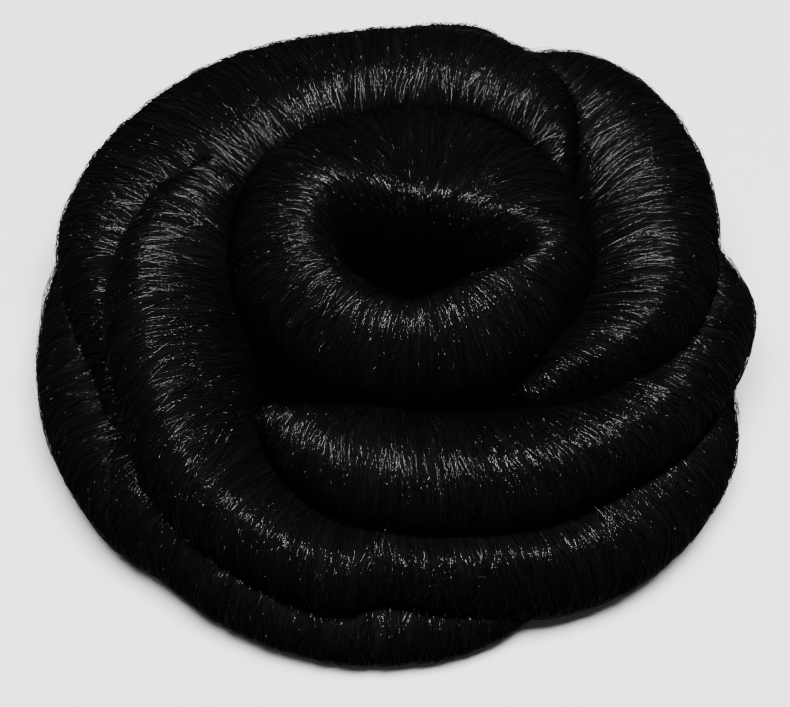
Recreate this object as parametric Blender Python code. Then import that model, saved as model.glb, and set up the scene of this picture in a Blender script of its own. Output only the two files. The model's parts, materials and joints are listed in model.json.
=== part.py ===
"""A top knot hairpiece: a ready-made bun of false hair, standing on its flat base.

Five rolls of hair make the bun. One closes into a ring round the pit in the middle.
The other four start in the valley beside it, a quarter turn apart, and wind down and
outward anticlockwise, each over the end of the next. A plain padded core carries them.
Lengths are metres, +Z is up, and the origin is the middle of the base.
"""
import math

import bmesh
import bpy

# Driving dimensions
BUN_RADIUS = 0.055
BUN_HEIGHT = 0.046
ROLL_THICKNESS = 0.020
FIT_GAP = 0.0003

# Where the rolls run: the lowest centre line, and how high the centre lines reach
LOW_REACH = BUN_RADIUS - 0.5 * ROLL_THICKNESS
LOW_RISE = 0.47 * ROLL_THICKNESS
HIGH_RISE = BUN_HEIGHT - 0.5 * ROLL_THICKNESS

# The core under the rolls: its foot, and its dome that ends inside the centre roll
CORE_RADIUS = 0.92 * LOW_REACH
CORE_HEIGHT = HIGH_RISE - 0.40 * ROLL_THICKNESS
CORE_FOOT_EDGE = 0.05 * ROLL_THICKNESS
CORE_SIDES = 40
CORE_STEPS = 8

# How finely a roll is faceted
ROLL_SIDES = 14
SECTION_TURN = 7.2

# The upright line that the rolls wind round. It stands a little off the origin, because
# the origin is the middle of the box round the whole bun.
AXIS = (0.0044 * BUN_RADIUS, -0.0327 * BUN_RADIUS)

# The centre roll turns about a line of its own, a little beside that axis
RING_AXIS = (AXIS[0] + 0.09 * LOW_REACH, AXIS[1] - 0.045 * LOW_REACH)

# Each row is one section of a roll. turn is in degrees from +X, anticlockwise from above.
# reach is the crest's distance from the axis it winds round, as a share of LOW_REACH.
# climb is the centre's height, from 0 on the lowest level to 1 on the centre roll's.
# inner, outer and tall are half sizes of the section, as shares of ROLL_THICKNESS.
COLUMNS = ("turn", "reach", "climb", "inner", "outer", "tall")

CENTRE_ROLL = (
    (0, 0.42, 0.92, 0.28, 0.32, 0.60),
    (30, 0.275, 0.92, 0.26, 0.76, 0.60),
    (53, 0.235, 0.92, 0.24, 0.93, 0.60),
    (83, 0.21, 0.92, 0.20, 1.08, 0.59),
    (107, 0.22, 0.92, 0.20, 1.06, 0.59),
    (125, 0.30, 0.92, 0.26, 0.92, 0.60),
    (140, 0.415, 0.92, 0.32, 0.67, 0.60),
    (164, 0.42, 0.92, 0.32, 0.55, 0.60),
    (187, 0.37, 0.92, 0.29, 0.55, 0.60),
    (220, 0.30, 0.92, 0.26, 0.50, 0.60),
    (257, 0.28, 0.92, 0.26, 0.40, 0.60),
    (290, 0.245, 0.92, 0.24, 0.46, 0.60),
    (330, 0.28, 0.92, 0.25, 0.47, 0.60),
)

RIGHT_ROLL = (
    (-44, 0.60, 0.67, 0.10, 0.08, 0.12),
    (-36, 0.67, 0.70, 0.26, 0.14, 0.32),
    (-27, 0.76, 0.72, 0.48, 0.18, 0.44),
    (-18, 0.85, 0.72, 0.60, 0.22, 0.50),
    (-8, 0.89, 0.70, 0.68, 0.32, 0.52),
    (7, 0.91, 0.68, 0.70, 0.43, 0.53),
    (28, 0.97, 0.67, 0.68, 0.47, 0.52),
    (45, 1.01, 0.62, 0.60, 0.46, 0.50),
    (56, 1.01, 0.57, 0.53, 0.43, 0.47),
    (66, 0.98, 0.50, 0.50, 0.37, 0.43),
    (76, 1.00, 0.42, 0.48, 0.50, 0.48),
    (92, 0.99, 0.33, 0.48, 0.50, 0.48),
    (130, 1.00, 0.10, 0.48, 0.48, 0.47),
    (175, 1.01, 0.00, 0.48, 0.48, 0.45),
    (200, 1.00, 0.00, 0.48, 0.48, 0.45),
    (222, 0.98, -0.01, 0.45, 0.42, 0.43),
    (245, 0.87, -0.02, 0.30, 0.30, 0.30),
)

BACK_ROLL = (
    (30, 0.64, 0.79, 0.10, 0.10, 0.12),
    (38, 0.73, 0.82, 0.26, 0.14, 0.30),
    (50, 0.80, 0.82, 0.40, 0.32, 0.42),
    (63, 0.82, 0.82, 0.45, 0.45, 0.46),
    (77, 0.82, 0.81, 0.46, 0.46, 0.46),
    (95, 0.79, 0.81, 0.46, 0.50, 0.46),
    (112, 0.79, 0.75, 0.46, 0.62, 0.46),
    (128, 0.82, 0.68, 0.54, 0.70, 0.46),
    (140, 0.88, 0.58, 0.64, 0.68, 0.46),
    (152, 0.99, 0.44, 0.55, 0.51, 0.46),
    (162, 1.03, 0.34, 0.55, 0.41, 0.46),
    (175, 1.00, 0.22, 0.52, 0.28, 0.46),
    (184, 0.98, 0.15, 0.48, 0.22, 0.44),
    (194, 0.96, 0.10, 0.44, 0.22, 0.40),
    (204, 0.96, 0.05, 0.44, 0.34, 0.42),
    (216, 0.99, 0.03, 0.45, 0.42, 0.44),
    (226, 0.975, 0.00, 0.45, 0.39, 0.43),
    (236, 0.98, -0.03, 0.46, 0.39, 0.41),
    (250, 0.99, -0.09, 0.46, 0.36, 0.34),
    (264, 1.00, -0.12, 0.44, 0.32, 0.30),
    (286, 0.98, -0.12, 0.26, 0.28, 0.30),
    (303, 0.94, -0.12, 0.10, 0.20, 0.18),
)

LEFT_ROLL = (
    (141, 0.78, 0.79, 0.12, 0.08, 0.12),
    (149, 0.74, 0.79, 0.30, 0.20, 0.30),
    (159, 0.76, 0.78, 0.46, 0.28, 0.44),
    (170, 0.79, 0.75, 0.60, 0.32, 0.50),
    (184, 0.83, 0.72, 0.70, 0.32, 0.53),
    (204, 0.85, 0.66, 0.72, 0.35, 0.52),
    (217, 0.90, 0.56, 0.76, 0.36, 0.50),
    (230, 0.96, 0.41, 0.72, 0.26, 0.46),
    (245, 0.97, 0.31, 0.56, 0.24, 0.42),
    (260, 0.97, 0.25, 0.46, 0.25, 0.38),
    (268, 0.91, 0.23, 0.42, 0.26, 0.34),
    (277, 0.96, 0.22, 0.44, 0.22, 0.38),
    (290, 1.00, 0.15, 0.46, 0.20, 0.44),
    (305, 1.03, 0.06, 0.47, 0.29, 0.46),
    (322, 1.03, 0.02, 0.47, 0.41, 0.46),
    (340, 1.03, 0.01, 0.47, 0.43, 0.45),
    (355, 1.00, 0.00, 0.46, 0.36, 0.44),
    (372, 1.00, 0.00, 0.46, 0.44, 0.44),
    (396, 0.91, -0.02, 0.32, 0.32, 0.32),
)

FRONT_ROLL = (
    (227, 0.63, 0.65, 0.10, 0.10, 0.12),
    (237, 0.64, 0.63, 0.24, 0.24, 0.30),
    (253, 0.67, 0.62, 0.46, 0.36, 0.42),
    (270, 0.69, 0.60, 0.56, 0.40, 0.45),
    (285, 0.73, 0.57, 0.60, 0.39, 0.46),
    (302, 0.81, 0.55, 0.62, 0.34, 0.46),
    (318, 0.90, 0.51, 0.60, 0.27, 0.46),
    (333, 0.98, 0.46, 0.52, 0.28, 0.46),
    (347, 1.02, 0.41, 0.50, 0.32, 0.46),
    (362, 1.04, 0.36, 0.50, 0.41, 0.46),
    (375, 1.02, 0.28, 0.48, 0.30, 0.44),
    (385, 1.02, 0.22, 0.48, 0.40, 0.46),
    (410, 1.00, 0.08, 0.48, 0.44, 0.46),
    (440, 0.98, 0.01, 0.46, 0.45, 0.45),
    (462, 0.95, -0.01, 0.40, 0.42, 0.42),
    (480, 0.88, -0.02, 0.24, 0.28, 0.26),
)

# Each winding roll, with the two that lie over its outer and lower runs
WINDING_ROLLS = (
    ("right_roll", RIGHT_ROLL, ("back_roll", "left_roll")),
    ("back_roll", BACK_ROLL, ("left_roll", "front_roll")),
    ("left_roll", LEFT_ROLL, ("front_roll", "right_roll")),
    ("front_roll", FRONT_ROLL, ("right_roll", "back_roll")),
)

HAIR_COLOUR = (0.0045, 0.0048, 0.0055, 1.0)
PAD_COLOUR = (0.0060, 0.0062, 0.0068, 1.0)


def clear_scene():
    """Remove what a new Blender file starts with."""
    for thing in list(bpy.data.objects):
        bpy.data.objects.remove(thing, do_unlink=True)


def make_material(name, colour, roughness):
    """A Principled material of one colour."""
    material = bpy.data.materials.new(name)
    material.use_nodes = True
    shader = material.node_tree.nodes["Principled BSDF"]
    shader.inputs["Base Color"].default_value = colour
    shader.inputs["Roughness"].default_value = roughness
    shader.inputs["Metallic"].default_value = 0.0
    return material


def lap(row, turns):
    """The same section, whole turns further on."""
    return (row[0] + 360 * turns,) + tuple(row[1:])


def with_neighbours(rows, closed):
    """The rows with one more at each end, which the curve through them leans on."""
    if closed:
        return [lap(rows[-1], -1)] + list(rows) + [lap(rows[0], 1), lap(rows[1], 1)]
    before = tuple(2 * a - b for a, b in zip(rows[0], rows[1]))
    after = tuple(2 * a - b for a, b in zip(rows[-1], rows[-2]))
    return [before] + list(rows) + [after]


def section_at(rows, turn, closed):
    """The section at any turn, on a smooth curve through the table's rows."""
    knots = with_neighbours(rows, closed)
    index = 1
    while index < len(knots) - 3 and knots[index + 1][0] <= turn:
        index += 1
    back, here, there, beyond = knots[index - 1:index + 3]
    span = there[0] - here[0]
    step = (turn - here[0]) / span
    ease = step * step * (3 - 2 * step)
    leave = step * (1 - step) * (1 - step) * span
    arrive = step * step * (step - 1) * span
    values = []
    for column in range(1, len(COLUMNS)):
        slope_here = (there[column] - back[column]) / (there[0] - back[0])
        slope_there = (beyond[column] - here[column]) / (beyond[0] - here[0])
        value = here[column] + ease * (there[column] - here[column])
        values.append(value + leave * slope_here + arrive * slope_there)
    return dict(zip(COLUMNS, [turn] + values))


def section_points(section, axis):
    """The corners of one section, in the upright plane through the axis."""
    angle = math.radians(section["turn"])
    reach = section["reach"] * LOW_REACH
    rise = LOW_RISE + section["climb"] * (HIGH_RISE - LOW_RISE)
    points = []
    for side in range(ROLL_SIDES):
        phase = math.tau * side / ROLL_SIDES
        half = section["outer"] if math.cos(phase) > 0 else section["inner"]
        away = reach + half * ROLL_THICKNESS * math.cos(phase)
        height = rise + section["tall"] * ROLL_THICKNESS * math.sin(phase)
        points.append((axis[0] + away * math.cos(angle), axis[1] + away * math.sin(angle), height))
    return points


def roll_mesh(name, rows, closed, axis):
    """A roll of hair: its sections joined into one closed skin."""
    first = rows[0][0]
    span = 360.0 if closed else rows[-1][0] - first
    steps = round(span / SECTION_TURN)
    turns = [first + span * i / steps for i in range(steps if closed else steps + 1)]
    mesh = bmesh.new()
    rings = []
    for turn in turns:
        points = section_points(section_at(rows, turn, closed), axis)
        rings.append([mesh.verts.new(point) for point in points])
    pairs = list(zip(rings, rings[1:]))
    if closed:
        pairs.append((rings[-1], rings[0]))
    for ring, following in pairs:
        for side in range(ROLL_SIDES):
            after = (side + 1) % ROLL_SIDES
            mesh.faces.new((ring[side], following[side], following[after], ring[after]))
    if not closed:
        mesh.faces.new(rings[0])
        mesh.faces.new(reversed(rings[-1]))
    return finished_mesh(name, mesh)


def core_mesh(name):
    """The core: a flat foot, a short upright edge and a dome over it."""
    profile = [(CORE_RADIUS, 0.0)]
    for step in range(CORE_STEPS):
        angle = 0.5 * math.pi * step / CORE_STEPS
        height = CORE_FOOT_EDGE + (CORE_HEIGHT - CORE_FOOT_EDGE) * math.sin(angle)
        profile.append((CORE_RADIUS * math.cos(angle), height))
    mesh = bmesh.new()
    rings = []
    for radius, height in profile:
        ring = []
        for side in range(CORE_SIDES):
            angle = math.tau * side / CORE_SIDES
            away = (AXIS[0] + radius * math.cos(angle), AXIS[1] + radius * math.sin(angle))
            ring.append(mesh.verts.new((away[0], away[1], height)))
        rings.append(ring)
    top = mesh.verts.new((AXIS[0], AXIS[1], CORE_HEIGHT))
    for ring, upper in zip(rings, rings[1:]):
        for side in range(CORE_SIDES):
            after = (side + 1) % CORE_SIDES
            mesh.faces.new((ring[side], ring[after], upper[after], upper[side]))
    for side in range(CORE_SIDES):
        mesh.faces.new((rings[-1][side], rings[-1][(side + 1) % CORE_SIDES], top))
    mesh.faces.new(reversed(rings[0]))
    return finished_mesh(name, mesh)


def finished_mesh(name, mesh):
    """Shade the faces smooth and keep the mesh."""
    data = bpy.data.meshes.new(name)
    mesh.to_mesh(data)
    mesh.free()
    data.shade_smooth()
    data.set_sharp_from_angle(angle=math.radians(50))
    return data


def add_piece(data, material):
    """Put a mesh in the scene as a piece of the hairpiece."""
    piece = bpy.data.objects.new(data.name, data)
    data.materials.append(material)
    bpy.context.scene.collection.objects.link(piece)
    return piece


def add_grown_cutter(piece):
    """A hidden copy of a piece, swollen by the gap that its neighbours keep to it."""
    cutter = bpy.data.objects.new("cut_for_" + piece.name, piece.data.copy())
    bpy.context.scene.collection.objects.link(cutter)
    grow = cutter.modifiers.new("gap", "DISPLACE")
    grow.mid_level = 0.0
    grow.strength = FIT_GAP
    cutter.hide_render = True
    cutter.display_type = 'WIRE'
    return cutter


def give_way(piece, cutters):
    """Press the shapes of a piece's neighbours into it."""
    covers = bpy.data.collections.new("over_" + piece.name)
    for cutter in cutters:
        covers.objects.link(cutter)
    press = piece.modifiers.new("give_way", "BOOLEAN")
    press.operation = 'DIFFERENCE'
    press.solver = 'EXACT'
    press.operand_type = 'COLLECTION'
    press.collection = covers


def main():
    """Build the core and the five rolls, and press each into what it lies under."""
    clear_scene()
    hair = make_material("hair", HAIR_COLOUR, 0.30)
    padding = make_material("padding", PAD_COLOUR, 0.60)
    core = add_piece(core_mesh("core_pad"), padding)
    ring = add_piece(roll_mesh("centre_roll", CENTRE_ROLL, True, RING_AXIS), hair)
    rolls = {}
    for name, rows, _ in WINDING_ROLLS:
        rolls[name] = add_piece(roll_mesh(name, rows, False, AXIS), hair)
    cutters = {}
    for piece in [core, ring] + list(rolls.values()):
        cutters[piece.name] = add_grown_cutter(piece)
    give_way(ring, [cutters["core_pad"]])
    for name, _, covers in WINDING_ROLLS:
        give_way(rolls[name], [cutters[other] for other in ("core_pad", "centre_roll") + covers])


main()
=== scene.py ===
"""Looks of the top knot hairpiece: glossy blue-black hair combed across five wound rolls.

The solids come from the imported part. Each roll gets a finely modelled body with its
locks in relief, and a coat of single strands laid across it. Lengths are metres.
"""
import json
import math

import bpy
import numpy as np
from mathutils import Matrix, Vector

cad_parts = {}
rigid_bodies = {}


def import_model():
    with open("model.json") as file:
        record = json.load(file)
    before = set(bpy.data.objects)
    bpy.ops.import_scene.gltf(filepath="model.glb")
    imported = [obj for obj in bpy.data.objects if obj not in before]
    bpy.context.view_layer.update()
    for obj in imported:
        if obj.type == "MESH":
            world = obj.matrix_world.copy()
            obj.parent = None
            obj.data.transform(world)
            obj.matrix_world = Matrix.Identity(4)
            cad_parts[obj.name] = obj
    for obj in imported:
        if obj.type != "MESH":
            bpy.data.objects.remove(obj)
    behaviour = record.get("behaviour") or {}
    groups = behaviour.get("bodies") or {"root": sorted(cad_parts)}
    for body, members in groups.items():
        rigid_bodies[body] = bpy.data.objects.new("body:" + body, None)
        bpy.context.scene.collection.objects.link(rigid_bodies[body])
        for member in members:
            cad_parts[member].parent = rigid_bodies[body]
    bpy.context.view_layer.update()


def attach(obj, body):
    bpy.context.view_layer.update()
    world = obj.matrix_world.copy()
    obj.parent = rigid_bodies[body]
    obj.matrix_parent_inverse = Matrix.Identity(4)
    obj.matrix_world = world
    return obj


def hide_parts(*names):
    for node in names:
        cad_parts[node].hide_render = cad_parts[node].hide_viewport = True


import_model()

# Sizes of the bun, as its solids have them
BUN_RADIUS = 0.055
BUN_HEIGHT = 0.046
ROLL_THICKNESS = 0.020
FIT_GAP = 0.0003
LOW_REACH = BUN_RADIUS - 0.5 * ROLL_THICKNESS
LOW_RISE = 0.47 * ROLL_THICKNESS
HIGH_RISE = BUN_HEIGHT - 0.5 * ROLL_THICKNESS
CORE_RADIUS = 0.92 * LOW_REACH
CORE_HEIGHT = HIGH_RISE - 0.40 * ROLL_THICKNESS
CORE_FOOT_EDGE = 0.05 * ROLL_THICKNESS
AXIS = (0.0044 * BUN_RADIUS, -0.0327 * BUN_RADIUS)
RING_AXIS = (AXIS[0] + 0.09 * LOW_REACH, AXIS[1] - 0.045 * LOW_REACH)

# A section's mean half size turns a phase round it into a length on the skin
SECTION_RADIUS = 0.5 * ROLL_THICKNESS
MILLIMETRE = 0.001

# How finely the bodies are modelled: sides round a section, and degrees from ring to ring
BODY_SIDES = 40
BODY_TURN = 1.4
COVER_SIDES = 28
COVER_TURN = 3.0
CORE_SIDES = 72
CORE_STEPS = 24
LOWEST_OFF_FLOOR = 0.0003

# Locks in relief. Each row: width along the roll, length round it, height
LOCKS = (
    (0.0042, 0.016, 0.00011),
    (0.0014, 0.012, 0.00006),
)
NOISE_CELLS = (997, 101)

# The coat: how many strands a roll has, how many places are tried, and the phases
# in degrees between which they may lie, from the foot outside to the valley inside.
# The last two are the shares of tips that point inward, at the foot and at the valley
STRANDS = 3500
PLACES = 5000
CREST_PHASE = 60
CREST_STEPS = 800
OUTER_PHASE = -86
INNER_PHASE = 215
RING_INNER_PHASE = 240
PHASES = 84
SHORTEST_RUN = 5
FEWEST_INWARD = 0.15
MOST_INWARD = 0.85

# One strand of the coat. A pair is the least and the most. Tapers are shares of its
# length, and the bed is how far its root lies under the skin of the solids
STRAND_POINTS = 9
STRAND_LENGTH = (0.006, 0.016)
STRAND_RADIUS = (0.00003, 0.000065)
ROOT_THICKNESS = 0.4
ROOT_TAPER = 0.15
TIP_THINNING = 0.65
STRAND_BED = 0.00012
STRAND_PITCH = 0.0003
COAT_DEPTH = (-0.00002, 0.00022)
ROOT_SUNK = 0.2

# How the strands sway together, lean and wave sideways. The sway's size is its width
# along the roll and its length round it. The shortest arm keeps the strands in place
# where a roll comes close to the axis that it winds round
LOCK_SWAY = 0.0009
SWAY_SIZE = (0.0028, 0.008)
STRAND_LEAN = 0.30
WAVE_HEIGHT = (0.00003, 0.00012)
WAVE_LENGTH = (0.005, 0.010)
SHORTEST_ARM = 0.004

# How far the tips rise: more where they end in a valley, and on the low outer slope
# only a share of it. The last three are phases in radians
TIP_RISE = 0.0009
VALLEY_TIP_RISE = 0.0016
LOW_TIP_SHARE = 0.2
AT_VALLEY = 0.03
SLOPE_FOOT = -0.2
SLOPE_SPAN = 0.8

# Glossy strands lie in loose bunches of this width and length among the dull ones
GLOSSY_SHARE = 0.50
BUNCH_PULL = 0.12
BUNCH_SIZE = (0.003, 0.004)

# Stray strands
STRAY_POINTS = 18
STRAY_LIFT = 0.00015

# Tones of the hair and the padding, and the size of the fibres' kinks in millimetres
HAIR_DARK = (0.0014, 0.0015, 0.0018, 1)
HAIR_LIGHT = (0.0032, 0.0034, 0.0038, 1)
KINK_LENGTH = 0.5
FIBRES_APART = 7.31
PADDING_BLACK = (0.0004, 0.0004, 0.0005, 1)

# Light, room and floor. A pair of tones is the one that lights the hair and the one
# that the camera sees, and the tilt is in degrees
SOFTBOX_SIZE = (0.52, 0.28)
SOFTBOX_POWER = 36.0
SOFTBOX_TINT = (1.0, 0.965, 0.985)
SOFTBOX_TILT = 12
SOFTBOX_SHIFT = 0.05
ROOM_TONES = (0.08, 0.92)
FLOOR_TONES = (0.04, 0.92)
FLOOR_HALF = 3.0

# The camera: sensor and lens in millimetres, and its elevation in degrees
CAMERA_SENSOR = 36.0
CAMERA_LENS = 237.3
CAMERA_NEAR = 0.01
CAMERA_AWAY = 0.8
CAMERA_UP = 57
TARGET_HEIGHT = 0.0114

# Each row is one section of a roll. turn is in degrees from +X, anticlockwise from above.
# reach is the crest's distance from the axis it winds round, as a share of LOW_REACH.
# climb is the centre's height, from 0 on the lowest level to 1 on the centre roll's.
# inner, outer and tall are half sizes of the section, as shares of ROLL_THICKNESS.
CENTRE_ROLL = (
    (0, 0.42, 0.92, 0.28, 0.32, 0.60),
    (30, 0.275, 0.92, 0.26, 0.76, 0.60),
    (53, 0.235, 0.92, 0.24, 0.93, 0.60),
    (83, 0.21, 0.92, 0.20, 1.08, 0.59),
    (107, 0.22, 0.92, 0.20, 1.06, 0.59),
    (125, 0.30, 0.92, 0.26, 0.92, 0.60),
    (140, 0.415, 0.92, 0.32, 0.67, 0.60),
    (164, 0.42, 0.92, 0.32, 0.55, 0.60),
    (187, 0.37, 0.92, 0.29, 0.55, 0.60),
    (220, 0.30, 0.92, 0.26, 0.50, 0.60),
    (257, 0.28, 0.92, 0.26, 0.40, 0.60),
    (290, 0.245, 0.92, 0.24, 0.46, 0.60),
    (330, 0.28, 0.92, 0.25, 0.47, 0.60),
)

RIGHT_ROLL = (
    (-44, 0.60, 0.67, 0.10, 0.08, 0.12),
    (-36, 0.67, 0.70, 0.26, 0.14, 0.32),
    (-27, 0.76, 0.72, 0.48, 0.18, 0.44),
    (-18, 0.85, 0.72, 0.60, 0.22, 0.50),
    (-8, 0.89, 0.70, 0.68, 0.32, 0.52),
    (7, 0.91, 0.68, 0.70, 0.43, 0.53),
    (28, 0.97, 0.67, 0.68, 0.47, 0.52),
    (45, 1.01, 0.62, 0.60, 0.46, 0.50),
    (56, 1.01, 0.57, 0.53, 0.43, 0.47),
    (66, 0.98, 0.50, 0.50, 0.37, 0.43),
    (76, 1.00, 0.42, 0.48, 0.50, 0.48),
    (92, 0.99, 0.33, 0.48, 0.50, 0.48),
    (130, 1.00, 0.10, 0.48, 0.48, 0.47),
    (175, 1.01, 0.00, 0.48, 0.48, 0.45),
    (200, 1.00, 0.00, 0.48, 0.48, 0.45),
    (222, 0.98, -0.01, 0.45, 0.42, 0.43),
    (245, 0.87, -0.02, 0.30, 0.30, 0.30),
)

BACK_ROLL = (
    (30, 0.64, 0.79, 0.10, 0.10, 0.12),
    (38, 0.73, 0.82, 0.26, 0.14, 0.30),
    (50, 0.80, 0.82, 0.40, 0.32, 0.42),
    (63, 0.82, 0.82, 0.45, 0.45, 0.46),
    (77, 0.82, 0.81, 0.46, 0.46, 0.46),
    (95, 0.79, 0.81, 0.46, 0.50, 0.46),
    (112, 0.79, 0.75, 0.46, 0.62, 0.46),
    (128, 0.82, 0.68, 0.54, 0.70, 0.46),
    (140, 0.88, 0.58, 0.64, 0.68, 0.46),
    (152, 0.99, 0.44, 0.55, 0.51, 0.46),
    (162, 1.03, 0.34, 0.55, 0.41, 0.46),
    (175, 1.00, 0.22, 0.52, 0.28, 0.46),
    (184, 0.98, 0.15, 0.48, 0.22, 0.44),
    (194, 0.96, 0.10, 0.44, 0.22, 0.40),
    (204, 0.96, 0.05, 0.44, 0.34, 0.42),
    (216, 0.99, 0.03, 0.45, 0.42, 0.44),
    (226, 0.975, 0.00, 0.45, 0.39, 0.43),
    (236, 0.98, -0.03, 0.46, 0.39, 0.41),
    (250, 0.99, -0.09, 0.46, 0.36, 0.34),
    (264, 1.00, -0.12, 0.44, 0.32, 0.30),
    (286, 0.98, -0.12, 0.26, 0.28, 0.30),
    (303, 0.94, -0.12, 0.10, 0.20, 0.18),
)

LEFT_ROLL = (
    (141, 0.78, 0.79, 0.12, 0.08, 0.12),
    (149, 0.74, 0.79, 0.30, 0.20, 0.30),
    (159, 0.76, 0.78, 0.46, 0.28, 0.44),
    (170, 0.79, 0.75, 0.60, 0.32, 0.50),
    (184, 0.83, 0.72, 0.70, 0.32, 0.53),
    (204, 0.85, 0.66, 0.72, 0.35, 0.52),
    (217, 0.90, 0.56, 0.76, 0.36, 0.50),
    (230, 0.96, 0.41, 0.72, 0.26, 0.46),
    (245, 0.97, 0.31, 0.56, 0.24, 0.42),
    (260, 0.97, 0.25, 0.46, 0.25, 0.38),
    (268, 0.91, 0.23, 0.42, 0.26, 0.34),
    (277, 0.96, 0.22, 0.44, 0.22, 0.38),
    (290, 1.00, 0.15, 0.46, 0.20, 0.44),
    (305, 1.03, 0.06, 0.47, 0.29, 0.46),
    (322, 1.03, 0.02, 0.47, 0.41, 0.46),
    (340, 1.03, 0.01, 0.47, 0.43, 0.45),
    (355, 1.00, 0.00, 0.46, 0.36, 0.44),
    (372, 1.00, 0.00, 0.46, 0.44, 0.44),
    (396, 0.91, -0.02, 0.32, 0.32, 0.32),
)

FRONT_ROLL = (
    (227, 0.63, 0.65, 0.10, 0.10, 0.12),
    (237, 0.64, 0.63, 0.24, 0.24, 0.30),
    (253, 0.67, 0.62, 0.46, 0.36, 0.42),
    (270, 0.69, 0.60, 0.56, 0.40, 0.45),
    (285, 0.73, 0.57, 0.60, 0.39, 0.46),
    (302, 0.81, 0.55, 0.62, 0.34, 0.46),
    (318, 0.90, 0.51, 0.60, 0.27, 0.46),
    (333, 0.98, 0.46, 0.52, 0.28, 0.46),
    (347, 1.02, 0.41, 0.50, 0.32, 0.46),
    (362, 1.04, 0.36, 0.50, 0.41, 0.46),
    (375, 1.02, 0.28, 0.48, 0.30, 0.44),
    (385, 1.02, 0.22, 0.48, 0.40, 0.46),
    (410, 1.00, 0.08, 0.48, 0.44, 0.46),
    (440, 0.98, 0.01, 0.46, 0.45, 0.45),
    (462, 0.95, -0.01, 0.40, 0.42, 0.42),
    (480, 0.88, -0.02, 0.24, 0.28, 0.26),
)

# Each row is one stray strand: the roll that it leaves, its turn and phase at one end and
# at the other, how far it rises between them in mm, and how many degrees of turn it bows.
STRAY_STRANDS = (
    ("left_roll", 171, 160, 166, 112, 1.8, 1.6),
    ("left_roll", 168, 150, 172, 108, 1.2, -1.4),
    ("left_roll", 221, 146, 228, 110, 1.6, 0.8),
    ("left_roll", 223, 148, 227, 104, 0.9, -0.6),
    ("left_roll", 198, 150, 203, 116, 0.7, 0.5),
    ("left_roll", 276, 62, 272, 4, 1.1, 0.6),
    ("left_roll", 287, 70, 290, 22, 0.6, 0.4),
    ("centre_roll", 178, 36, 184, 92, 1.2, -0.9),
    ("centre_roll", 190, 60, 198, 104, 0.8, 0.7),
    ("centre_roll", 200, 48, 196, 98, 0.6, -0.5),
    ("centre_roll", 309, 50, 301, 92, 0.8, 0.6),
    ("centre_roll", 30, 46, 24, 70, 0.6, 0.4),
    ("front_roll", 252, 92, 258, 40, 1.0, 0.8),
    ("front_roll", 300, 120, 304, 66, 0.8, -0.6),
    ("back_roll", 180, 96, 185, 50, 1.0, 0.7),
    ("back_roll", 62, 150, 57, 104, 0.8, 0.6),
    ("right_roll", -14, 142, -20, 96, 0.9, 0.7),
)


def with_neighbours(rows, closed):
    """The rows with one more at each end, which the curve through them leans on."""
    rows = [np.array(row, float) for row in rows]
    if closed:
        whole = np.array((360.0, 0, 0, 0, 0, 0))
        return [rows[-1] - whole] + rows + [rows[0] + whole, rows[1] + whole]
    return [2 * rows[0] - rows[1]] + rows + [2 * rows[-1] - rows[-2]]


def smooth_rows(rows, closed, turns):
    """The sections at the given turns, on a smooth curve through a table's rows."""
    knots = np.array(with_neighbours(rows, closed))
    index = np.searchsorted(knots[:, 0], turns, side="right") - 1
    index = np.clip(index, 1, len(knots) - 3)
    back, here, there, beyond = (knots[index + k] for k in (-1, 0, 1, 2))
    span = (there - here)[:, :1]
    step = (turns[:, None] - here[:, :1]) / span
    slope_here = (there - back) / (there - back)[:, :1]
    slope_there = (beyond - here) / (beyond - here)[:, :1]
    ease = step * step * (3 - 2 * step)
    leave = step * (1 - step) ** 2 * span
    arrive = step * step * (step - 1) * span
    return here + ease * (there - here) + leave * slope_here + arrive * slope_there


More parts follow.
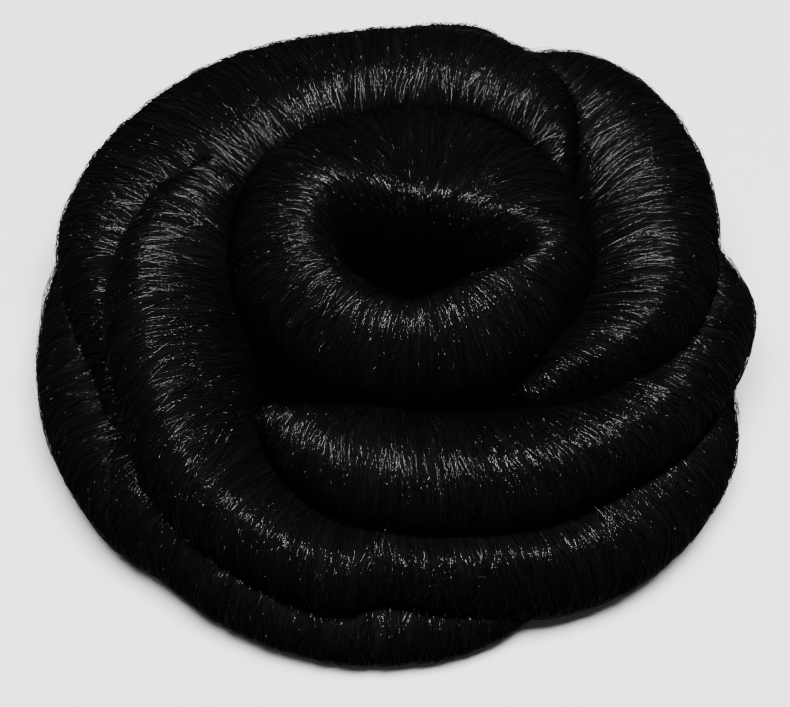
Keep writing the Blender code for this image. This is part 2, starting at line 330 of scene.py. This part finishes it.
class Roll:
    """One roll of hair: its sections round an upright axis, as the solids have them."""

    def __init__(self, name, rows, axis=AXIS, closed=False):
        self.name = name
        self.axis = axis
        self.closed = closed
        self.covers = []
        self.others = []
        self.first = rows[0][0]
        self.last = self.first + 360 if closed else rows[-1][0]
        self.turns = np.arange(self.first, self.last + 0.25, 0.5)
        sections = smooth_rows(rows, closed, self.turns)
        self.reach = sections[:, 1] * LOW_REACH
        self.rise = LOW_RISE + sections[:, 2] * (HIGH_RISE - LOW_RISE)
        self.inner, self.outer, self.tall = (sections[:, k] * ROLL_THICKNESS for k in (3, 4, 5))

    def section(self, turn):
        """Reach, rise, inner, outer and tall at any turns."""
        if self.closed:
            turn = (turn - self.first) % 360 + self.first
        columns = (self.reach, self.rise, self.inner, self.outer, self.tall)
        return [np.interp(turn, self.turns, column) for column in columns]

    def point(self, turn, phase, lift=0.0):
        """Where a turn and a phase round the section lie, lifted off the roll's skin."""
        reach, rise, inner, outer, tall = self.section(turn)
        across, upward = np.cos(phase), np.sin(phase)
        half = np.where(across > 0, outer, inner)
        steep = np.hypot(across / half, upward / tall)
        away = reach + half * across + lift * across / half / steep
        height = rise + tall * upward + lift * upward / tall / steep
        angle = np.radians(turn)
        sideways = self.axis[0] + away * np.cos(angle)
        deep = self.axis[1] + away * np.sin(angle)
        return np.stack(np.broadcast_arrays(sideways, deep, height), -1)

    def holds(self, points, margin):
        """Which points lie inside the roll, or within a margin of it."""
        sideways, deep = points[..., 0] - self.axis[0], points[..., 1] - self.axis[1]
        away = np.hypot(sideways, deep)
        angle = np.degrees(np.arctan2(deep, sideways))
        inside = np.zeros(away.shape, bool)
        for turn in (angle, angle + 360):
            reach, rise, inner, outer, tall = self.section(turn)
            half = np.where(away > reach, outer, inner)
            ratio = np.hypot((away - reach) / (half + margin), (points[..., 2] - rise) / (tall + margin))
            along = self.closed | ((turn >= self.first) & (turn <= self.last))
            inside |= along & (ratio < 1)
        return inside


def core_holds(points, margin):
    """Which points lie inside the core, or within a margin of it."""
    away = np.hypot(points[..., 0] - AXIS[0], points[..., 1] - AXIS[1])
    level = np.maximum(points[..., 2] - CORE_FOOT_EDGE, 0)
    return np.hypot(away / (CORE_RADIUS + margin), level / (CORE_HEIGHT - CORE_FOOT_EDGE + margin)) < 1


def buried(roll, points):
    """Which points of a roll's skin lie inside the core or another roll."""
    taken = core_holds(points, 0.0)
    for other in roll.others:
        taken = taken | other.holds(points, 0.0)
    return taken


def soft_noise(seed, along, across):
    """Smooth random values from -1 to 1, with one cell to each unit of both inputs."""
    columns, rows = NOISE_CELLS
    along, across = np.broadcast_arrays(along, across)
    grid = np.random.default_rng(seed).uniform(-1, 1, NOISE_CELLS)
    column, row = np.floor(along).astype(int), np.floor(across).astype(int)
    right, up = along - column, across - row
    right, up = right * right * (3 - 2 * right), up * up * (3 - 2 * up)
    here, there = column % columns, (column + 1) % columns
    low, high = row % rows, (row + 1) % rows
    below = grid[here, low] * (1 - right) + grid[there, low] * right
    above = grid[here, high] * (1 - right) + grid[there, high] * right
    return below * (1 - up) + above * up


def locks(seed, along, around):
    """Height of the locks that the hair gathers into, in metres, on a roll's skin."""
    height = 0.0
    for step, (width, length, relief) in enumerate(LOCKS):
        height = height + relief * soft_noise(seed + step, along / width, around / length)
    return height


def paired(first, second, shape):
    """Two values side by side, for each place of the given shape."""
    return np.stack([np.broadcast_to(values, shape) for values in (first, second)], -1)


def tubes_mesh(name, rings, strand_map, wrap=False, bake_map=None, finish=None):
    """One mesh of many closed tubes.

    rings holds the corners by tube, ring and side. The maps hold two values for each
    tube, ring and side, with one side more than the rings, and one ring more on a wrap.
    finish picks the material of each tube by its number.
    """
    count, length, sides = rings.shape[:3]
    corner = np.arange(count * length * sides).reshape(count, length, sides)
    mapped = np.arange(count * (length + wrap) * (sides + 1)).reshape(count, length + wrap, sides + 1)
    here = corner if wrap else corner[:, :-1]
    there = np.roll(corner, -1, 1) if wrap else corner[:, 1:]
    quads = np.stack((here, there, np.roll(there, -1, 2), np.roll(here, -1, 2)), -1).reshape(-1)
    near, far = mapped[:, :-1], mapped[:, 1:]
    quad_map = np.stack((near[..., :-1], far[..., :-1], far[..., 1:], near[..., 1:]), -1).reshape(-1)
    sizes = [4] * (len(quads) // 4)
    loops, loop_map = [quads], [quad_map]
    if not wrap:
        for end, step in ((0, 1), (-1, -1)):
            loops.append(corner[:, end, ::step].reshape(-1))
            loop_map.append(mapped[:, end, :-1][:, ::step].reshape(-1))
            sizes += [sides] * count
    loops, loop_map, sizes = np.concatenate(loops), np.concatenate(loop_map), np.array(sizes)
    mesh = bpy.data.meshes.new(name)
    mesh.vertices.add(rings.size // 3)
    mesh.vertices.foreach_set("co", rings.astype(np.float32).reshape(-1))
    mesh.loops.add(len(loops))
    mesh.loops.foreach_set("vertex_index", loops.astype(np.int32))
    mesh.polygons.add(len(sizes))
    mesh.polygons.foreach_set("loop_start", (np.cumsum(sizes) - sizes).astype(np.int32))
    mesh.update(calc_edges=True)
    mesh.polygons.foreach_set("use_smooth", np.ones(len(sizes), bool))
    if finish is not None:
        each_face = np.concatenate((np.repeat(finish, (length - 1) * sides), finish, finish))
        mesh.polygons.foreach_set("material_index", each_face.astype(np.int32))
    maps = {"combed": strand_map}
    if bake_map is not None:
        maps["OFBake"] = bake_map
    for title, values in maps.items():
        layer = mesh.uv_layers.new(name=title)
        flat = values.reshape(-1, 2)[loop_map]
        layer.data.foreach_set("uv", flat.astype(np.float32).reshape(-1))
    mesh.validate()
    return mesh


def add_piece(mesh, materials, replaced=()):
    """Put a mesh in the scene as a piece of the hairpiece."""
    piece = bpy.data.objects.new(mesh.name, mesh)
    for material in materials:
        mesh.materials.append(material)
    bpy.context.scene.collection.objects.link(piece)
    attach(piece, "root")
    for node in replaced:
        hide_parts(node)
    return piece


def crest_length(roll, turns):
    """How far along its crest each turn of a roll lies."""
    crest = roll.point(turns, math.radians(CREST_PHASE))
    gaps = np.linalg.norm(np.diff(crest, axis=0), axis=-1)
    return np.concatenate(([0.0], np.cumsum(gaps)))


def roll_skin(roll, name, sides, turn_step, lift=0.0, seed=None):
    """The whole skin of a roll as one closed mesh, with its locks in relief if a seed is given."""
    steps = round((roll.last - roll.first) / turn_step)
    turns = np.linspace(roll.first, roll.last, steps + 1)
    phases = np.linspace(0, math.tau, sides + 1)
    along = crest_length(roll, turns)[:, None]
    around = phases * SECTION_RADIUS
    strand_map = paired(along / STRAND_PITCH, around * 1000, (steps + 1, sides + 1))
    turn, phase = turns[:, None], phases[None, :-1]
    if roll.closed:
        turn, along = turn[:-1], along[:-1]
    if seed is not None:
        lift = lift + locks(seed, along, around[None, :-1])
    points = roll.point(turn, phase, lift)
    points[..., 2] = np.maximum(points[..., 2], LOWEST_OFF_FLOOR)
    return tubes_mesh(name, points[None], strand_map[None], wrap=roll.closed)


def body_mesh(roll, seed):
    """The body of a roll, pressed in by the core and by the rolls that lie over it."""
    scene = bpy.context.scene
    name = roll.name + "_body"
    skin = roll_skin(roll, "whole", BODY_SIDES, BODY_TURN, -STRAND_BED, seed)
    whole = bpy.data.objects.new("whole " + name, skin)
    scene.collection.objects.link(whole)
    covers = bpy.data.collections.new("over " + name)
    for cover in roll.covers:
        skin = roll_skin(cover, "cover", COVER_SIDES, COVER_TURN, FIT_GAP - STRAND_BED)
        covers.objects.link(bpy.data.objects.new("cover", skin))
    covers.objects.link(bpy.data.objects.new("cover", core_mesh("cover", FIT_GAP)))
    press = whole.modifiers.new("press", "BOOLEAN")
    press.operation = "DIFFERENCE"
    press.solver = "EXACT"
    press.operand_type = "COLLECTION"
    press.collection = covers
    pressed = whole.evaluated_get(bpy.context.evaluated_depsgraph_get())
    shaped = bpy.data.meshes.new_from_object(pressed)
    shaped.name = name
    for thing in list(covers.objects) + [whole]:
        bpy.data.objects.remove(thing, do_unlink=True)
    bpy.data.collections.remove(covers)
    return shaped


def longest_run(clear):
    """First place and length of the longest unbroken run in each row."""
    run = np.zeros(len(clear), int)
    best, end = run.copy(), run.copy()
    for place in range(clear.shape[1]):
        run = (run + 1) * clear[:, place]
        longer = run > best
        best = np.where(longer, run, best)
        end = np.where(longer, place, end)
    return end - best + 1, best


def unit(vectors):
    """The vectors at a length of one."""
    return vectors / (np.linalg.norm(vectors, axis=-1, keepdims=True) + 1e-12)


def strand_tubes(paths, normals, radii):
    """Three-sided rings round the points of each strand."""
    tangents = unit(np.gradient(paths, axis=1))
    side = unit(np.cross(tangents, normals))
    top = np.cross(side, tangents)
    rings = []
    for corner in range(3):
        angle = math.tau * corner / 3 + 0.5 * math.pi
        rings.append(paths + radii[..., None] * (math.cos(angle) * side + math.sin(angle) * top))
    return np.stack(rings, 2)


def strand_seats(roll, rng, even, length):
    """The turns that strands lie at, and the phases between which each is in the open."""
    steps = (np.arange(PLACES) + rng.random(PLACES)) / PLACES
    turns = np.interp(steps * length[-1], length, even)
    inner_phase = RING_INNER_PHASE if roll.closed else INNER_PHASE
    phases = np.radians(np.linspace(OUTER_PHASE, inner_phase, PHASES))
    start, run = longest_run(~buried(roll, roll.point(turns[:, None], phases[None], STRAND_BED)))
    run = np.where(run < SHORTEST_RUN, 0, run)
    chosen = np.sort(rng.choice(PLACES, STRANDS, p=run / run.sum()))
    turns, start, run = turns[chosen], start[chosen], run[chosen]
    low = phases[np.maximum(start - 1, 0)][:, None]
    high = phases[np.minimum(start + run, PHASES - 1)][:, None]
    return turns, low, high


def coat_mesh(roll, seed):
    """A coat of short strands laid across a roll like fur, each with its tip a little raised."""
    rng = np.random.default_rng(seed)
    even = np.linspace(roll.first, roll.last, CREST_STEPS)
    length = crest_length(roll, even)
    turns, low, high = strand_seats(roll, rng, even, length)

    def each(least, most):
        """One random value for each strand."""
        return rng.uniform(least, most, (STRANDS, 1))

    # Where each strand roots and ends: most tips point to the valley that is nearer
    place = each(0, 1)
    way = np.where(each(0, 1) < FEWEST_INWARD + (MOST_INWARD - FEWEST_INWARD) * place, 1, -1)
    reach = each(*STRAND_LENGTH) / SECTION_RADIUS
    tip = np.clip(low + place * (high - low) + 0.5 * way * reach, low, high)
    root = np.clip(tip - way * reach, low, high)
    share = np.linspace(0, 1, STRAND_POINTS)[None]
    phase = root + (tip - root) * share
    base = roll.point(turns[:, None], phase)
    gaps = np.linalg.norm(np.diff(base, axis=1), axis=-1)
    arc = np.concatenate((np.zeros((STRANDS, 1)), np.cumsum(gaps, axis=1)), 1)
    along = np.interp(turns, even, length)[:, None]
    around = phase * SECTION_RADIUS

    # Sideways: locks that sway together, and a lean and a wave of each strand's own
    sway = LOCK_SWAY * soft_noise(seed + 5, along / SWAY_SIZE[0], around / SWAY_SIZE[1])
    sway = sway + each(-STRAND_LEAN, STRAND_LEAN) * (arc - 0.5 * arc[:, -1:])
    sway = sway + each(*WAVE_HEIGHT) * np.sin(math.tau * (arc / each(*WAVE_LENGTH) + each(0, 1)))
    arm = np.hypot(base[..., 0] - roll.axis[0], base[..., 1] - roll.axis[1])
    turn = turns[:, None] + np.degrees(sway / np.maximum(arm, SHORTEST_ARM))

    # Outwards: the strand's place in the coat, the locks, and the raised tip
    lift = each(*COAT_DEPTH) + locks(seed, along, around)
    lift = (lift + STRAND_BED) * np.clip(share / ROOT_SUNK, 0, 1) - STRAND_BED
    at_foot = low <= np.radians(OUTER_PHASE)
    at_valley = (tip - low < AT_VALLEY) & ~at_foot | (high - tip < AT_VALLEY)
    raised = TIP_RISE * each(0, 1) ** 3 + VALLEY_TIP_RISE * at_valley * each(0, 1) ** 2
    up_slope = np.clip((tip - SLOPE_FOOT) / SLOPE_SPAN, 0, 1)
    raised = raised * (LOW_TIP_SHARE + (1 - LOW_TIP_SHARE) * up_slope)
    lift = lift + raised * share ** 2
    paths = roll.point(turn, phase, lift)
    paths[..., 2] = np.maximum(paths[..., 2], LOWEST_OFF_FLOOR)
    normals = paths - roll.point(turn, phase, lift - MILLIMETRE)
    thinned = 1 - TIP_THINNING * share ** 2
    widened = ROOT_THICKNESS + (1 - ROOT_THICKNESS) * np.clip(share / ROOT_TAPER, 0, 1)
    rings = strand_tubes(paths, normals, each(*STRAND_RADIUS) * thinned * widened)

    # Maps: strand number and millimetres along it, and a grid of places for baking
    number = np.arange(STRANDS)[:, None, None]
    shape = (STRANDS, STRAND_POINTS, 4)
    strand_map = paired(number + 0.5, (arc * 1000)[..., None], shape)
    across = math.ceil(math.sqrt(STRANDS))
    bake_u = (number % across + 0.15 + 0.7 * np.arange(4)[None, None] / 3) / across
    bake_v = (number // across + 0.05 + 0.9 * share[..., None]) / across
    bake_map = paired(bake_u, bake_v, shape)

    # Finish of each strand: 0 is glossy and 1 is dull
    middle = around[:, STRAND_POINTS // 2]
    bunch = soft_noise(seed + 9, along[:, 0] / BUNCH_SIZE[0], middle / BUNCH_SIZE[1])
    finish = rng.random(STRANDS) + BUNCH_PULL * bunch > GLOSSY_SHARE
    return tubes_mesh(roll.name + "_strands", rings, strand_map, bake_map=bake_map, finish=finish)


def stray_mesh(rolls):
    """The few single strands that stand clear of the coat."""
    share = np.linspace(0, 1, STRAY_POINTS)
    arch = 4 * share * (1 - share)
    paths, normals = [], []
    for name, turn, phase, last_turn, last_phase, rise, bow in STRAY_STRANDS:
        turns = turn + (last_turn - turn) * share + bow * arch
        phases = np.radians(phase + (last_phase - phase) * share)
        lift = STRAY_LIFT + MILLIMETRE * rise * arch * (0.6 + 0.4 * share)
        path = rolls[name].point(turns, phases, lift)
        paths.append(path)
        normals.append(path - rolls[name].point(turns, phases, lift - MILLIMETRE))
    paths, normals = np.array(paths), np.array(normals)
    radii = STRAND_RADIUS[1] * (0.5 + 0.5 * np.clip(arch, 0, 1)) * np.ones((len(paths), 1))
    rings = strand_tubes(paths, normals, radii)
    number = np.arange(len(paths))[:, None, None]
    side = np.arange(4)[None, None] / 3
    down = share[None, :, None]
    shape = (len(paths), STRAY_POINTS, 4)
    strand_map = paired(number + 0.5, 10 * down, shape)
    bake_map = paired((number + 0.1 + 0.8 * side) / len(paths), 0.05 + 0.9 * down, shape)
    return tubes_mesh("stray_strands", rings, strand_map, bake_map=bake_map)


def group_sockets(tree, inputs, outputs):
    """Give a node group its named inputs and outputs."""
    for name, kind, value in inputs:
        socket = tree.interface.new_socket(name, in_out="INPUT", socket_type=kind)
        if value is not None:
            socket.default_value = value
    for name, kind in outputs:
        tree.interface.new_socket(name, in_out="OUTPUT", socket_type=kind)


def new_node(tree, kind, label, **settings):
    """A labelled node with its settings."""
    node = tree.nodes.new(kind)
    node.label = label
    for name, value in settings.items():
        setattr(node, name, value)
    return node


def strand_tone_group():
    """Tone and roughness that change from strand to strand."""
    tree = bpy.data.node_groups.new("Strand tone", "ShaderNodeTree")
    group_sockets(
        tree,
        (
            ("Combed", "NodeSocketVector", None),
            ("Dark", "NodeSocketColor", (0.002, 0.002, 0.002, 1)),
            ("Light", "NodeSocketColor", (0.006, 0.006, 0.006, 1)),
            ("Smoothest", "NodeSocketFloat", 0.2),
            ("Roughest", "NodeSocketFloat", 0.4),
        ),
        (("Colour", "NodeSocketColor"), ("Roughness", "NodeSocketFloat")),
    )
    links = tree.links
    start = new_node(tree, "NodeGroupInput", "in")
    finish = new_node(tree, "NodeGroupOutput", "out")
    split = new_node(tree, "ShaderNodeSeparateXYZ", "strand and length")
    number = new_node(tree, "ShaderNodeMath", "strand number", operation="FLOOR")
    chance = new_node(tree, "ShaderNodeTexWhiteNoise", "each strand", noise_dimensions="1D")
    mix = new_node(tree, "ShaderNodeMix", "tone", data_type="RGBA")
    rough = new_node(tree, "ShaderNodeMapRange", "roughness")
    links.new(start.outputs["Combed"], split.inputs[0])
    links.new(split.outputs["X"], number.inputs[0])
    links.new(number.outputs[0], chance.inputs["W"])
    links.new(chance.outputs["Value"], mix.inputs["Factor"])
    links.new(start.outputs["Dark"], mix.inputs["A"])
    links.new(start.outputs["Light"], mix.inputs["B"])
    links.new(chance.outputs["Value"], rough.inputs["Value"])
    links.new(start.outputs["Roughest"], rough.inputs["To Min"])
    links.new(start.outputs["Smoothest"], rough.inputs["To Max"])
    links.new(mix.outputs["Result"], finish.inputs["Colour"])
    links.new(rough.outputs["Result"], finish.inputs["Roughness"])
    return tree


def fibre_grain_group():
    """Height of the fibres in millimetres: a ridge across each, and kinks along it."""
    tree = bpy.data.node_groups.new("Fibre grain", "ShaderNodeTree")
    group_sockets(
        tree,
        (
            ("Combed", "NodeSocketVector", None),
            ("Ridge", "NodeSocketFloat", 0.05),
            ("Kink", "NodeSocketFloat", 0.05),
            ("Kink Length", "NodeSocketFloat", 1.5),
        ),
        (("Height", "NodeSocketFloat"),),
    )
    links = tree.links
    start = new_node(tree, "NodeGroupInput", "in")
    finish = new_node(tree, "NodeGroupOutput", "out")
    split = new_node(tree, "ShaderNodeSeparateXYZ", "strand and length")
    ridge = new_node(tree, "ShaderNodeMath", "across the strand", operation="PINGPONG")
    ridge.inputs[1].default_value = 0.5
    raised = new_node(tree, "ShaderNodeMath", "ridge height", operation="MULTIPLY")
    number = new_node(tree, "ShaderNodeMath", "strand number", operation="FLOOR")
    apart = new_node(tree, "ShaderNodeMath", "each strand apart", operation="MULTIPLY")
    apart.inputs[1].default_value = FIBRES_APART
    along = new_node(tree, "ShaderNodeMath", "along in kinks", operation="DIVIDE")
    place = new_node(tree, "ShaderNodeCombineXYZ", "place in the noise")
    kinks = new_node(tree, "ShaderNodeTexNoise", "kinks", noise_dimensions="2D")
    kinks.inputs["Scale"].default_value = 1.0
    kinks.inputs["Detail"].default_value = 1.0
    kinked = new_node(tree, "ShaderNodeMath", "kink height", operation="MULTIPLY")
    both = new_node(tree, "ShaderNodeMath", "both", operation="ADD")
    links.new(start.outputs["Combed"], split.inputs[0])
    links.new(split.outputs["X"], ridge.inputs[0])
    links.new(ridge.outputs[0], raised.inputs[0])
    links.new(start.outputs["Ridge"], raised.inputs[1])
    links.new(split.outputs["X"], number.inputs[0])
    links.new(number.outputs[0], apart.inputs[0])
    links.new(split.outputs["Y"], along.inputs[0])
    links.new(start.outputs["Kink Length"], along.inputs[1])
    links.new(apart.outputs[0], place.inputs["X"])
    links.new(along.outputs[0], place.inputs["Y"])
    links.new(place.outputs[0], kinks.inputs["Vector"])
    links.new(kinks.outputs["Fac"], kinked.inputs[0])
    links.new(start.outputs["Kink"], kinked.inputs[1])
    links.new(raised.outputs[0], both.inputs[0])
    links.new(kinked.outputs[0], both.inputs[1])
    links.new(both.outputs[0], finish.inputs["Height"])
    return tree


def start_material(name, gloss):
    """A new material with its node tree and shader, at the given gloss."""
    material = bpy.data.materials.new(name)
    material.use_nodes = True
    shader = material.node_tree.nodes["Principled BSDF"]
    shader.inputs["Specular IOR Level"].default_value = gloss
    return material, material.node_tree, shader


def place_group(tree, label, group, combed, values):
    """A node group in a material, fed with the combed map and given its own values."""
    node = new_node(tree, "ShaderNodeGroup", label, node_tree=group)
    for name, value in values.items():
        node.inputs[name].default_value = value
    tree.links.new(combed.outputs["UV"], node.inputs["Combed"])
    return node


def add_grain(tree, shader, combed, grain, ridge, kink, kink_length):
    """Fibres in relief on a material, by a bump."""
    values = {"Ridge": ridge, "Kink": kink, "Kink Length": kink_length}
    grained = place_group(tree, "fibre grain", grain, combed, values)
    bump = new_node(tree, "ShaderNodeBump", "fibres in relief")
    bump.inputs["Distance"].default_value = MILLIMETRE
    tree.links.new(grained.outputs["Height"], bump.inputs["Height"])
    tree.links.new(bump.outputs["Normal"], shader.inputs["Normal"])


def hair_material(name, tone, grain, gloss, smoothest, roughest, ridge, kink):
    """Blue-black hair of one finish."""
    material, tree, shader = start_material(name, gloss)
    combed = new_node(tree, "ShaderNodeUVMap", "combed", uv_map="combed")
    values = {
        "Dark": HAIR_DARK,
        "Light": HAIR_LIGHT,
        "Smoothest": smoothest,
        "Roughest": roughest,
    }
    toned = place_group(tree, "strand tone", tone, combed, values)
    tree.links.new(toned.outputs["Colour"], shader.inputs["Base Color"])
    tree.links.new(toned.outputs["Roughness"], shader.inputs["Roughness"])
    add_grain(tree, shader, combed, grain, ridge, kink, KINK_LENGTH)
    return material


def padding_material(name, grain):
    """Matt black padding of crimped hair."""
    material, tree, shader = start_material(name, gloss=0.0)
    shader.inputs["Base Color"].default_value = PADDING_BLACK
    shader.inputs["Roughness"].default_value = 0.9
    combed = new_node(tree, "ShaderNodeUVMap", "combed", uv_map="combed")
    add_grain(tree, shader, combed, grain, ridge=0.5, kink=0.5, kink_length=1.3)
    return material


def core_mesh(name, margin=0.0):
    """The core: a flat foot, a short rounded edge and a dome."""
    radius, top = CORE_RADIUS + margin, CORE_HEIGHT + margin
    profile = [(0.9 * radius, 0.0), (0.985 * radius, 0.0)]
    for step in range(CORE_STEPS):
        angle = 0.5 * math.pi * step / CORE_STEPS
        height = CORE_FOOT_EDGE + (top - CORE_FOOT_EDGE) * math.sin(angle)
        profile.append((radius * math.cos(angle), height))
    profile = np.array(profile)
    angle = -math.tau * np.arange(CORE_SIDES) / CORE_SIDES
    sideways = AXIS[0] + profile[:, :1] * np.cos(angle)
    deep = AXIS[1] + profile[:, :1] * np.sin(angle)
    rings = np.stack(np.broadcast_arrays(sideways, deep, profile[:, 1:]), -1)
    gaps = np.linalg.norm(np.diff(profile, axis=0), axis=1)
    down = np.concatenate(([0.0], np.cumsum(gaps)))[:, None]
    fibre = 5.0 * np.arange(CORE_SIDES + 1)
    strand_map = paired(fibre, 1000 * down, (len(profile), CORE_SIDES + 1))
    return tubes_mesh(name, rings[None], strand_map[None])


def pale_where_seen(tree, tones):
    """A tone that lights the hair dimly and is pale to the camera."""
    ray = new_node(tree, "ShaderNodeLightPath", "seen by the camera")
    shade = new_node(tree, "ShaderNodeMapRange", "pale where it is seen")
    shade.inputs["To Min"].default_value = tones[0]
    shade.inputs["To Max"].default_value = tones[1]
    tree.links.new(ray.outputs["Is Camera Ray"], shade.inputs["Value"])
    return shade.outputs["Result"]


def light_setup():
    """A soft box overhead, a dim pale room, and a plain pale floor."""
    scene = bpy.context.scene
    softbox = bpy.data.lights.new("overhead softbox", "AREA")
    softbox.shape = "RECTANGLE"
    softbox.size, softbox.size_y = SOFTBOX_SIZE
    softbox.energy = SOFTBOX_POWER
    softbox.color = SOFTBOX_TINT
    holder = bpy.data.objects.new("overhead softbox", softbox)
    tilt = math.radians(SOFTBOX_TILT)
    holder.location = (SOFTBOX_SHIFT, -math.sin(tilt), math.cos(tilt))
    holder.rotation_euler = holder.location.to_track_quat("Z", "Y").to_euler()
    scene.collection.objects.link(holder)

    world = bpy.data.worlds.new("room")
    scene.world = world
    world.use_nodes = True
    tree = world.node_tree
    tree.links.new(pale_where_seen(tree, ROOM_TONES), tree.nodes["Background"].inputs["Color"])

    mesh = bpy.data.meshes.new("floor")
    sides = ((-1, -1), (1, -1), (1, 1), (-1, 1))
    corners = [(FLOOR_HALF * across, FLOOR_HALF * deep, 0) for across, deep in sides]
    mesh.from_pydata(corners, [], [(0, 1, 2, 3)])
    floor = bpy.data.objects.new("floor", mesh)
    scene.collection.objects.link(floor)
    material, tree, shader = start_material("floor", gloss=0.0)
    shader.inputs["Roughness"].default_value = 0.9
    tree.links.new(pale_where_seen(tree, FLOOR_TONES), shader.inputs["Base Color"])
    mesh.materials.append(material)


def camera_setup():
    """The camera at the photo's angle: from the front and above."""
    camera = bpy.data.cameras.new("camera")
    camera.sensor_width = CAMERA_SENSOR
    camera.sensor_fit = "HORIZONTAL"
    camera.lens = CAMERA_LENS
    camera.clip_start = CAMERA_NEAR
    holder = bpy.data.objects.new("camera", camera)
    target = Vector((AXIS[0], AXIS[1], TARGET_HEIGHT))
    up = math.radians(CAMERA_UP)
    holder.location = target + CAMERA_AWAY * Vector((0, -math.cos(up), math.sin(up)))
    holder.rotation_euler = (0.5 * math.pi - up, 0, 0)
    bpy.context.scene.collection.objects.link(holder)
    bpy.context.scene.camera = holder


def main():
    """Dress the core and the five rolls, and light them."""
    ring = Roll("centre_roll", CENTRE_ROLL, RING_AXIS, closed=True)
    right = Roll("right_roll", RIGHT_ROLL)
    back = Roll("back_roll", BACK_ROLL)
    left = Roll("left_roll", LEFT_ROLL)
    front = Roll("front_roll", FRONT_ROLL)
    right.covers = [ring, back, left]
    back.covers = [ring, left, front]
    left.covers = [ring, front, right]
    front.covers = [ring, right, back]
    rolls = {roll.name: roll for roll in (ring, right, back, left, front)}
    for roll in rolls.values():
        roll.others = [other for other in rolls.values() if other is not roll]

    tone = strand_tone_group()
    grain = fibre_grain_group()
    glossy = hair_material(
        "glossy strands",
        tone,
        grain,
        gloss=0.78,
        smoothest=0.10,
        roughest=0.20,
        ridge=0.0,
        kink=0.13,
    )
    dull = hair_material(
        "dull strands",
        tone,
        grain,
        gloss=0.05,
        smoothest=0.26,
        roughest=0.45,
        ridge=0.0,
        kink=0.13,
    )
    under = hair_material(
        "hair under the strands",
        tone,
        grain,
        gloss=0.015,
        smoothest=0.5,
        roughest=0.7,
        ridge=0.16,
        kink=0.10,
    )

    padding = padding_material("black padding", grain)
    core = add_piece(core_mesh("core_padding"), [padding], ["core_pad"])
    for seed, roll in enumerate(rolls.values()):
        add_piece(body_mesh(roll, 100 + 10 * seed), [under], [roll.name])
        add_piece(coat_mesh(roll, 100 + 10 * seed), [glossy, dull])
    add_piece(stray_mesh(rolls), [glossy])
    light_setup()
    camera_setup()


main()
